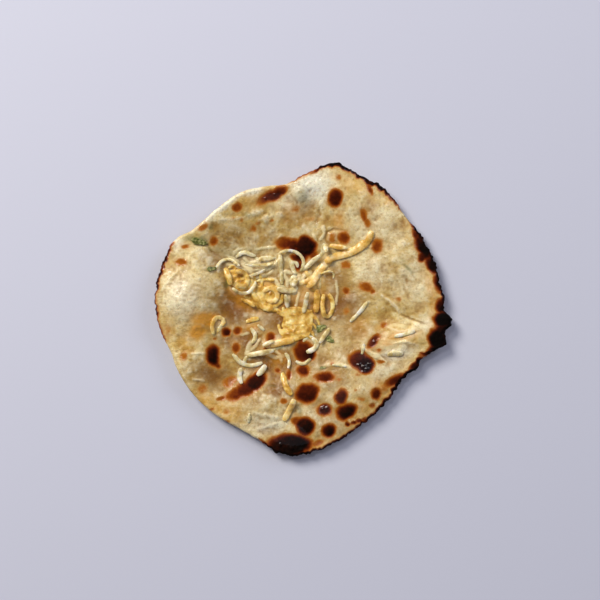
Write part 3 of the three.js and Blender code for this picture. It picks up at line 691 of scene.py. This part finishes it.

# Painted shade and painted highlight: the crust is coloured darker in its hollows and lighter on its bumps,
# where shade and light would fall. How far each point of the crust lies below its surroundings, near by and
# further out.
relief_grid = (top_z - smooth_top(x, y)).reshape(ACROSS + 1, ACROSS + 1)
near_hollow = blurred(relief_grid, 2.2) - relief_grid
wide_hollow = blurred(relief_grid, 7.0) - relief_grid
rest_of_bread = np.zeros(len(points) - len(top_points))
store(bread, "pit", np.concatenate([np.clip(0.5 + 1.5 * near_hollow.ravel(), 0, 1), 0.5 + rest_of_bread]))
store(bread, "hollow", np.concatenate([np.clip(0.5 + 0.55 * wide_hollow.ravel(), 0, 1), 0.5 + rest_of_bread]))

# The finish of the crust: matt floury dough under patches of melted butter, so that it shines in
# broken glints; it lets a little light through where it is thin.
crust, tree, shader = new_material("buttered_naan_crust")
place = add_node(tree, "ShaderNodeTexCoord", output=3)
sources = {name: add_node(tree, "ShaderNodeAttribute", {"attribute_name": name}, output=2)
           for name in ("scorch", "upper", "golden", "tanned_and_shaded", "pale", "green", "pit", "hollow", "thread")}
NOISES = {"mottle": (11, 4, 0.55), "clouds": (30, 2, 0.5), "fine": (1.7, 3, 0.55), "flecks": (3.2, 4, 0.65),
          "flour": (2.2, 3, 0.55), "toast": (9, 5, 0.6), "butter": (6, 3, 0.55), "pores": (0.8, 2, 0.5)}
for name, (size_mm, detail, uneven) in NOISES.items():
    sources[name] = add_node(tree, "ShaderNodeTexNoise", inputs={
        "Vector": place, "Scale": 1 / (size_mm * MM), "Detail": detail, "Roughness": uneven})

# Colours laid over the dough in turn: what guides them, how strongly, and the colour.
CRUST_LAYERS = [
    ("clouds", [(0.42, 0.0), (0.62, 0.45)], "#d3b56a"),
    # pale: paler dough and painted highlight together
    ("pale", [(0.0, 0.0), (1.0, 0.9)], "#ecebd8"),
    # tanned: real browning and painted shade together
    ("tanned_and_shaded", [(0.0, 0.0), (1.0, 0.95)], "#7c4a10"),
    # painted shade in the wide hollows, painted highlight on the wide rises
    ("hollow", [(0.50, 0.0), (0.90, 0.55)], "#94661f"),
    ("hollow", [(0.16, 0.40), (0.46, 0.0)], "#f0e3b8"),
    # painted shade in the small pits, painted highlight on the small bumps
    ("pit", [(0.52, 0.0), (0.86, 0.50)], "#805618"),
    ("pit", [(0.18, 0.34), (0.46, 0.0)], "#f6edcc"),
    ("flecks", [(0.54, 0.0), (0.72, 0.40)], "#a87a30"),
    ("fine", [(0.30, 0.42), (0.47, 0.0)], "#86602a"),
    # tanned, deeper: real browning and painted shade together
    ("tanned_and_shaded", [(0.5, 0.0), (1.0, 0.42)], "#7a4a14"),
    ("golden", [(0.0, 0.0), (1.0, 0.9)], "#d48f1c"),
    ("green", [(0.0, 0.0), (1.0, 0.85)], "#5c6130"),
    ("thread", [(0.15, 0.0), (0.95, 0.5)], "#e8d8a0"),
]
colour = add_node(tree, "ShaderNodeValToRGB", inputs={"Fac": sources["mottle"]}, stops=[
    (0.30, "#b2873a"), (0.45, "#d6b76c"), (0.58, "#ecdaa4"), (0.74, "#d8ba6c")])
for name, stops, layer_colour in CRUST_LAYERS:
    amount = add_node(tree, "ShaderNodeValToRGB", inputs={"Fac": sources[name]}, stops=stops)
    colour = add_node(tree, "ShaderNodeMix", {"data_type": "RGBA"}, {
        "Factor_Float": amount, "A_Color": colour, "B_Color": linear(layer_colour)}, output=2)

burn = sources["scorch"]
for name, swing in (("flecks", 0.24), ("fine", 0.12)):
    burn = add_node(tree, "ShaderNodeMath", {"operation": "MULTIPLY_ADD"}, {
        "Value": sources[name], "Value_001": swing, "Value_002": burn})
burn = add_node(tree, "ShaderNodeMath", {"operation": "SUBTRACT"}, {"Value": burn, "Value_001": 0.17})
baked = add_node(tree, "ShaderNodeValToRGB", inputs={"Fac": burn}, stops=[
    (0.06, "#cca45c"), (0.20, "#b98238"), (0.34, "#a9641a"), (0.50, "#87400c"),
    (0.64, "#5e2006"), (0.78, "#370e02"), (0.90, "#160602"), (1.0, "#070301")])
burnt = add_node(tree, "ShaderNodeValToRGB", inputs={"Fac": burn}, stops=[(0.03, 0.0), (0.30, 1.0)])
colour = add_node(tree, "ShaderNodeMix", {"data_type": "RGBA"}, {
    "Factor_Float": burnt, "A_Color": colour, "B_Color": baked}, output=2)

underside = add_node(tree, "ShaderNodeValToRGB", inputs={"Fac": sources["toast"]}, stops=[
    (0.36, "#d9c596"), (0.52, "#c39c5c"), (0.64, "#9c6428"), (0.74, "#5f3010")])
flour = add_node(tree, "ShaderNodeValToRGB", inputs={"Fac": sources["flour"]}, stops=[
    (0.56, 0.0), (0.70, 0.55)])
underside = add_node(tree, "ShaderNodeMix", {"data_type": "RGBA"}, {
    "Factor_Float": flour, "A_Color": underside, "B_Color": linear("#efe6d2")}, output=2)
upper = add_node(tree, "ShaderNodeValToRGB", inputs={"Fac": sources["upper"]}, stops=[
    (0.12, 0.0), (0.42, 1.0)])
colour = add_node(tree, "ShaderNodeMix", {"data_type": "RGBA"}, {
    "Factor_Float": upper, "A_Color": underside, "B_Color": colour}, output=2)
tree.links.new(colour, shader.inputs["Base Color"])

gloss = add_node(tree, "ShaderNodeValToRGB", inputs={"Fac": sources["butter"]}, stops=[
    (0.40, 0.10), (0.50, 0.30), (0.65, 0.52)])
gloss = add_node(tree, "ShaderNodeMath", {"operation": "MULTIPLY"}, {
    "Value": gloss,
    "Value_001": add_node(tree, "ShaderNodeValToRGB", inputs={"Fac": burn}, stops=[(0.3, 1.0), (0.7, 0.5)])})
dry = add_node(tree, "ShaderNodeMath", {"operation": "SUBTRACT"}, {"Value": 1.0, "Value_001": upper})
gloss = add_node(tree, "ShaderNodeMath", {"operation": "MULTIPLY_ADD", "use_clamp": True}, {
    "Value": dry, "Value_001": 0.3, "Value_002": gloss})
tree.links.new(gloss, shader.inputs["Roughness"])
shader.inputs["IOR"].default_value = 1.46
shader.inputs["Subsurface Weight"].default_value = 0.08
shader.inputs["Subsurface Radius"].default_value = (1.0, 0.55, 0.25)
shader.inputs["Subsurface Scale"].default_value = 1.6 * MM
height = add_node(tree, "ShaderNodeMath", {"operation": "MULTIPLY_ADD"}, {
    "Value": sources["fine"], "Value_001": 0.7, "Value_002": sources["pores"]})
even = add_node(tree, "ShaderNodeValToRGB", inputs={"Fac": burn}, stops=[(0.25, 1.0), (0.6, 0.2)])
height = add_node(tree, "ShaderNodeMath", {"operation": "MULTIPLY"}, {"Value": height, "Value_001": even})
normal = add_node(tree, "ShaderNodeBump", inputs={"Strength": 0.8, "Distance": 0.35 * MM, "Height": height})
tree.links.new(normal, shader.inputs["Normal"])
bread.data.materials.append(crust)

# The seared spots and the charred rim: the same crust baked dry, so that it hardly shines. Only
# the hard blisters hold butter: place and radius.
BUTTERED_BLISTERS = [(44, -37, 9), (17, -70, 5.5), (28, -59, 5.5), (-8, -94, 15), (-20, 79, 10), (51, -22, 4),
                     (-46, -50, 4)]
SEARED_INSIDE, SEARED_ON_RIM = 0.3, 0.45     # how scorched the crust is where it has gone dry
seared = crust.copy()
seared.name = "seared_dry_crust"
seared_shader = seared.node_tree.nodes["Principled BSDF"]
seared_shader.inputs["Specular IOR Level"].default_value = 0.05
seared.node_tree.links.remove(seared_shader.inputs["Roughness"].links[0])
seared_shader.inputs["Roughness"].default_value = 0.7
bread.data.materials.append(seared)
on_rim = np.hypot(px, py) > RIM_ZONE * reach(np.arctan2(py, px))
is_seared = scorch_map(px, py) > np.where(on_rim, SEARED_ON_RIM, SEARED_INSIDE)
for at_x, at_y, radius in BUTTERED_BLISTERS:
    is_seared &= on_rim | (np.hypot(px - at_x, py - at_y) > radius)
bread.data.polygons.foreach_set("material_index", [
    int(all(is_seared[corner] for corner in face.vertices)) for face in bread.data.polygons])
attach(bread, "root")
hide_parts(BREAD)


# ------------------------------------------------------------------ grated cheese
# Yellow and white cheese, grated over the hot bread. Each shred is a soft bent sliver that has
# begun to melt: its edges are round, it sags into what it lies on and its surface is wet.

def soft_food(name, stops, mottle_mm, wet, scatter, scatter_mm, weight):
    """A moist translucent material: mottled colour, uneven gloss and fine pores."""
    made, tree, shader = new_material(name)
    place = add_node(tree, "ShaderNodeTexCoord", output=3)
    mottle, film, pores = [add_node(tree, "ShaderNodeTexNoise", inputs={
        "Vector": place, "Scale": 1 / (size_mm * MM), "Detail": 3.0}) for size_mm in (mottle_mm, 1.6, 0.9)]
    colour = add_node(tree, "ShaderNodeValToRGB", inputs={"Fac": mottle}, stops=stops)
    gloss = add_node(tree, "ShaderNodeValToRGB", inputs={"Fac": film}, stops=[(0.35, wet), (0.65, wet + 0.2)])
    normal = add_node(tree, "ShaderNodeBump", inputs={"Strength": 0.3, "Distance": 0.2 * MM, "Height": pores})
    tree.links.new(colour, shader.inputs["Base Color"])
    tree.links.new(gloss, shader.inputs["Roughness"])
    tree.links.new(normal, shader.inputs["Normal"])
    shader.inputs["IOR"].default_value = 1.45
    shader.inputs["Subsurface Weight"].default_value = weight
    shader.inputs["Subsurface Radius"].default_value = scatter
    shader.inputs["Subsurface Scale"].default_value = scatter_mm * MM
    return made


# Softened cheddar: a pale buttery yellow that shines wet on its ridges.
yellow_cheese = soft_food(
    "softened_yellow_cheese", [(0.34, "#cfa248"), (0.45, "#e2ba6a"), (0.55, "#edcf8c"), (0.68, "#f8e3b0")],
    6.5, 0.14, (1.0, 0.75, 0.35), 2.6, 0.5)
# The same cheddar run together: thinner, oilier and a deeper gold.
molten_cheese = soft_food(
    "molten_yellow_cheese", [(0.34, "#b4822a"), (0.45, "#d0a348"), (0.55, "#e3bf6a"), (0.68, "#f2da98")],
    4.5, 0.12, (1.0, 0.75, 0.3), 2.6, 0.5)
# Softened mozzarella: creamy and translucent, never pure white, with a wet sheen.
white_cheese = soft_food(
    "softened_white_cheese", [(0.34, "#bfa76a"), (0.45, "#d6c48e"), (0.56, "#e7d9b0"), (0.70, "#f8f0dc")],
    5.0, 0.14, (1.0, 0.85, 0.55), 3.0, 0.6)


# The finished crust, in half-millimetre steps, for the pieces to lie on.
crust_table = crust_height(*np.meshgrid(np.linspace(-HALF, HALF, 4 * HALF + 1),
                                        np.linspace(-HALF, HALF, 4 * HALF + 1)))


STRAND_STEP = 1.1            # mm between the rings of a strand
STRAND_SIDES = 8
STRAND_HEIGHT = 0.75         # of a strand as a share of its width
BLUNT_END = (0.62, 0.92)     # width of the first two rings as a share of the middle


def strand(route, width, lift=0.0):
    """A blunt-ended round strand along a route on the smooth loaf: points in millimetres and faces."""
    sides = STRAND_SIDES
    spline = np.array(route, float)
    steps = np.concatenate([[0], np.cumsum(np.hypot(*np.diff(spline, axis=0).T))])
    at = np.linspace(0, steps[-1], max(4, int(steps[-1] / STRAND_STEP)) + 1)
    line = np.stack([np.interp(at, steps, spline[:, 0]), np.interp(at, steps, spline[:, 1])], 1)
    for _ in range(3):
        line[1:-1] = (line[:-2] + 2 * line[1:-1] + line[2:]) / 4
    along = np.gradient(line, axis=0)
    along /= np.hypot(*along.T)[:, None]
    ground = smooth_top(line[:, 0], line[:, 1])
    made, cells = [], []
    for i, ((px, py), (ax, ay)) in enumerate(zip(line, along)):
        end = min(i, len(line) - 1 - i)
        thick = width / 2 * (*BLUNT_END, 1.0)[min(end, 2)]
        thick *= 1 + 0.22 * float(rough(np.array(px * 2.0), np.array(py * 2.0), 7, SEED + 170))
        for k in range(sides):
            turn = 2 * math.pi * k / sides
            made.append((px - ay * thick * math.cos(turn), py + ax * thick * math.cos(turn),
                         ground[i] + lift + STRAND_HEIGHT * thick * math.sin(turn)))
    for i in range(len(line) - 1):
        for k in range(sides):
            nxt = (k + 1) % sides
            cells.append((i * sides + k, i * sides + nxt, (i + 1) * sides + nxt, (i + 1) * sides + k))
    cells.append(tuple(range(sides - 1, -1, -1)))
    cells.append(tuple((len(line) - 1) * sides + k for k in range(sides)))
    return made, cells


def melted(node, name, material, sink=0.62, press=0.66, voxel=0.42, bulge=0.34, swell=0.3, extra=()):
    """A soft rounded copy of a solid piece with any extra strands, lowered towards the crust under it."""
    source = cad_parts[node].data
    made_points = [tuple(v.co / MM) for v in source.vertices]
    made_faces = [tuple(p.vertices) for p in source.polygons]
    for route, width, lift in extra:
        strand_points, strand_faces = strand(route, width, lift)
        made_faces += [tuple(i + len(made_points) for i in f) for f in strand_faces]
        made_points += strand_points
    rough_mesh = bpy.data.meshes.new(name)
    rough_mesh.from_pydata([tuple(c * MM for c in p) for p in made_points], [], made_faces)
    made = bpy.data.objects.new(name, rough_mesh)
    bpy.context.scene.collection.objects.link(made)
    remesh = made.modifiers.new("round", "REMESH")
    remesh.mode = "VOXEL"
    remesh.voxel_size = voxel * MM
    soften = made.modifiers.new("soften", "SMOOTH")
    soften.iterations = 7
    soften.factor = 0.6
    graph = bpy.context.evaluated_depsgraph_get()
    mesh = bpy.data.meshes.new_from_object(made.evaluated_get(graph))
    made.modifiers.clear()
    made.data = mesh
    mesh.name = name
    spots, normals = np.empty((2, len(mesh.vertices) * 3))
    mesh.vertices.foreach_get("co", spots)
    mesh.vertices.foreach_get("normal", normals)
    spots = spots.reshape(-1, 3) / MM
    puff = swell + bulge * rough(spots[:, 0] + spots[:, 2], spots[:, 1] - spots[:, 2], 4.5, SEED + 160)
    spots = spots + normals.reshape(-1, 3) * puff[:, None]
    px, py = spots[:, 0], spots[:, 1]
    spots[:, 2] = table_value(crust_table, px, py) + (spots[:, 2] - smooth_top(px, py)) * press - sink
    mesh.vertices.foreach_set("co", (spots * MM).ravel())
    mesh.update()
    mesh.shade_smooth()
    mesh.materials.append(material)
    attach(made, "root")
    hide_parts(node)
    return made


# Strands that have melted on to a shred: route, width and lift in millimetres.
MELTED_ON = {
    "yellow_cheese_shred_03": [
        ([(21, 35), (16, 30.5), (12, 25), (9.4, 19), (8.6, 13)], 5.2, .5),
        ([(4, 27), (7, 23), (9, 18)], 3.4, .3),
        ([(-1, 18), (4, 19.4), (9, 22)], 3.6, .4), ([(14, 26), (13, 20), (13, 15)], 3.2, .3),
        ([(20, 36), (25, 37.6), (30, 39)], 4.6, .5)],
    "yellow_cheese_shred_04": [([(22, 37), (31, 39.6), (39, 42.6), (45, 48)], 4.2, .7)],
    "yellow_cheese_shred_10": [([(-58, -16), (-56, -12), (-53, -8)], 2.4, .2)],
    "yellow_cheese_shred_07": [([(-24, -25), (-17, -23.4), (-9, -21), (-3, -19)], 4.4, .3)],
    "white_cheese_shred_08": [
        ([(-3, 24), (-6, 21), (-5, 17), (-2, 14)], 4.0, .6), ([(-2, 12.6), (-6, 12), (-9, 14)], 3.4, .4),
        ([(-17, 15.6), (-14, 17), (-10, 15.4)], 3.0, .4)],
    "white_cheese_shred_06": [([(0, 27), (4, 30), (9, 34), (14, 37.6), (17, 41)], 2.8, .3),
                              ([(16.4, 39), (15, 43), (17, 46.6)], 2.4, .3)],
    "white_cheese_shred_13": [
        ([(-39, -38), (-38.6, -34), (-34, -31), (-26, -29.6), (-18, -27.6), (-11, -24.6)], 2.8, .2)],
    "white_cheese_shred_22": [([(2, -22.4), (4, -19.4), (8, -18.6), (11.6, -21)], 2.4, .3)],
    "white_cheese_shred_02": [([(-32, 37), (-27, 34.6), (-21, 34.6), (-16, 37)], 2.4, .2)],
    "white_cheese_shred_05": [([(-8, 36), (-6, 33), (-2, 33.6), (-1.6, 29.6)], 2.4, .3)],
}
# Yellow shreds drawn in the deeper gold of the pools, so that they show darker than the others.
DEEPER_GOLD_SHREDS = {"yellow_cheese_shred_" + number for number in ("01", "02", "08", "11", "12", "13", "14", "16")}
for node in sorted(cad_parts):
    more = MELTED_ON.get(node, ())
    if node.startswith("yellow_cheese_shred"):
        cheese = molten_cheese if node in DEEPER_GOLD_SHREDS else yellow_cheese
        melted(node, node.replace("cheese_shred", "melting_shred"), cheese, extra=more)
    if node.startswith("white_cheese_shred"):
        melted(node, node.replace("cheese_shred", "melting_shred"), white_cheese, extra=more)

# Shreds that have run together in the two pools: route, width and lift in millimetres.
MIDDLE_TANGLE = [
    ([(-12, 2), (-10, -5), (-12, -12)], 2.3, 0.8), ([(-6, 1), (-5, -6), (-8, -13)], 2.2, 0.8),
    ([(-1, 0), (0, -7), (-3, -14), (-4, -20)], 2.3, 0.9), ([(4, 0), (4, -8), (2, -17)], 2.2, 0.9),
    ([(8, 0), (8, -7), (6, -14)], 2.3, 0.8), ([(-14, -14), (-8, -17), (-1, -16), (5, -15)], 2.5, 1.2),
    ([(-10, -9), (-4, -10), (2, -9), (8, -12)], 2.0, 1.4), ([(-9, -2), (-3, -4), (3, -2)], 2.0, 1.2),
    ([(-13, -20), (-7, -21), (-1, -20.4)], 2.8, 0.9), ([(-15, -10), (-14, -15), (-11, -19)], 2.0, 0.8),
    ([(-7, -8), (-3, -12), (-5, -16), (-9, -14)], 1.7, 1.9), ([(1, -11), (5, -11), (5, -15)], 1.7, 1.8),
    ([(-16, -1), (-12, -4), (-8, -4)], 2.3, 0.6), ([(10, -4), (13, -8), (14, -12)], 2.0, 0.6),
    ([(-2, -17), (2, -19), (5, -18)], 2.3, 1.0),
    ([(5, -1), (9.4, -3.4), (11, -7)], 1.7, 0.7), ([(6, -8), (10.4, -10.4), (11.4, -13.4)], 1.5, 0.8),
    ([(4, -13), (8.6, -15), (9.8, -18.6)], 1.8, 0.7), ([(3, -17), (6.6, -19.4), (10.4, -20)], 1.5, 0.6),
]
LEFT_TANGLE = [
    ([(-50, 29), (-47, 31), (-44, 28), (-46, 25)], 2.0, 0.9), ([(-52, 26), (-50, 21), (-48, 17)], 2.5, 0.6),
    ([(-46, 23), (-42, 25.6), (-38, 24), (-37, 20), (-41, 18), (-45, 19.6)], 2.3, 1.6),
    ([(-44, 20), (-41, 22), (-39, 21)], 2.3, 2.1), ([(-43, 15), (-38, 14), (-34, 16), (-33, 21)], 2.0, 0.9),
    ([(-36, 14), (-33, 9), (-29, 6), (-26, 3.6)], 2.7, 1.1), ([(-31, 11), (-28, 8), (-27, 4)], 2.7, 1.5),
    ([(-13.6, 14), (-19, 16.6), (-24.6, 14), (-26.4, 8), (-23, 3), (-17, 2.4), (-12.6, 6), (-12, 11)],
     2.7, 1.2),
    ([(-20, 12.4), (-22.6, 9), (-20, 6), (-16.6, 7.4), (-16.8, 10.6)], 2.0, 1.5),
    ([(-30, 20), (-24, 21.6), (-18, 20.6)], 2.3, 0.8), ([(-28, 25), (-26, 19), (-28, 14)], 1.9, 0.9),
    ([(-39, 10), (-34, 6), (-27, 1), (-19, -1)], 2.3, 0.6), ([(-17, 1), (-13, -2), (-9, -2)], 2.3, 0.6),
    ([(-33, 26), (-31, 21), (-31, 16)], 1.7, 1.0), ([(-24, 1), (-20, -1), (-15, 0)], 2.3, 0.9),
    ([(-48, 22), (-45, 17), (-40, 11.6)], 1.9, 0.8),
]
for number, tangle in (("01", MIDDLE_TANGLE), ("02", LEFT_TANGLE)):
    melted("melted_yellow_cheese_" + number, "yellow_cheese_pool_" + number, molten_cheese,
           sink=0.6, press=0.85, voxel=0.34, bulge=0.25, swell=0.2, extra=tangle)


# ------------------------------------------------------------------ coriander
# Torn leaves of fresh coriander, chopped over the bread before it was baked: they have wilted,
# turned dark olive and lie flat on the crust.

# Wilted herb: a dull dark olive, mottled paler, half matt.
coriander = soft_food(
    "wilted_coriander", [(0.35, "#4f5220"), (0.5, "#7a7c3a"), (0.68, "#b4ae74")],
    1.6, 0.25, (0.8, 1.0, 0.3), 0.8, 0.2)
# Folds of leaf beside the main one: route, width and lift in millimetres.
LEAF_FOLDS = {
    "coriander_leaf_03": [([(8, -12), (11.5, -13), (15.5, -12)], 4.6, -1.3),
                          ([(10, -15.4), (14, -15.6), (17, -14)], 3.6, -.9)],
    "coriander_leaf_04": [([(17, -17), (20, -18.4), (22, -21)], 3.6, -.9)],
}
for node in sorted(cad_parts):
    if node.startswith("coriander_leaf"):
        melted(node, node.replace("coriander", "wilted"), coriander,
               sink=0.3, press=0.9, voxel=0.22, bulge=0.2, swell=0.05, extra=LEAF_FOLDS.get(node, ()))
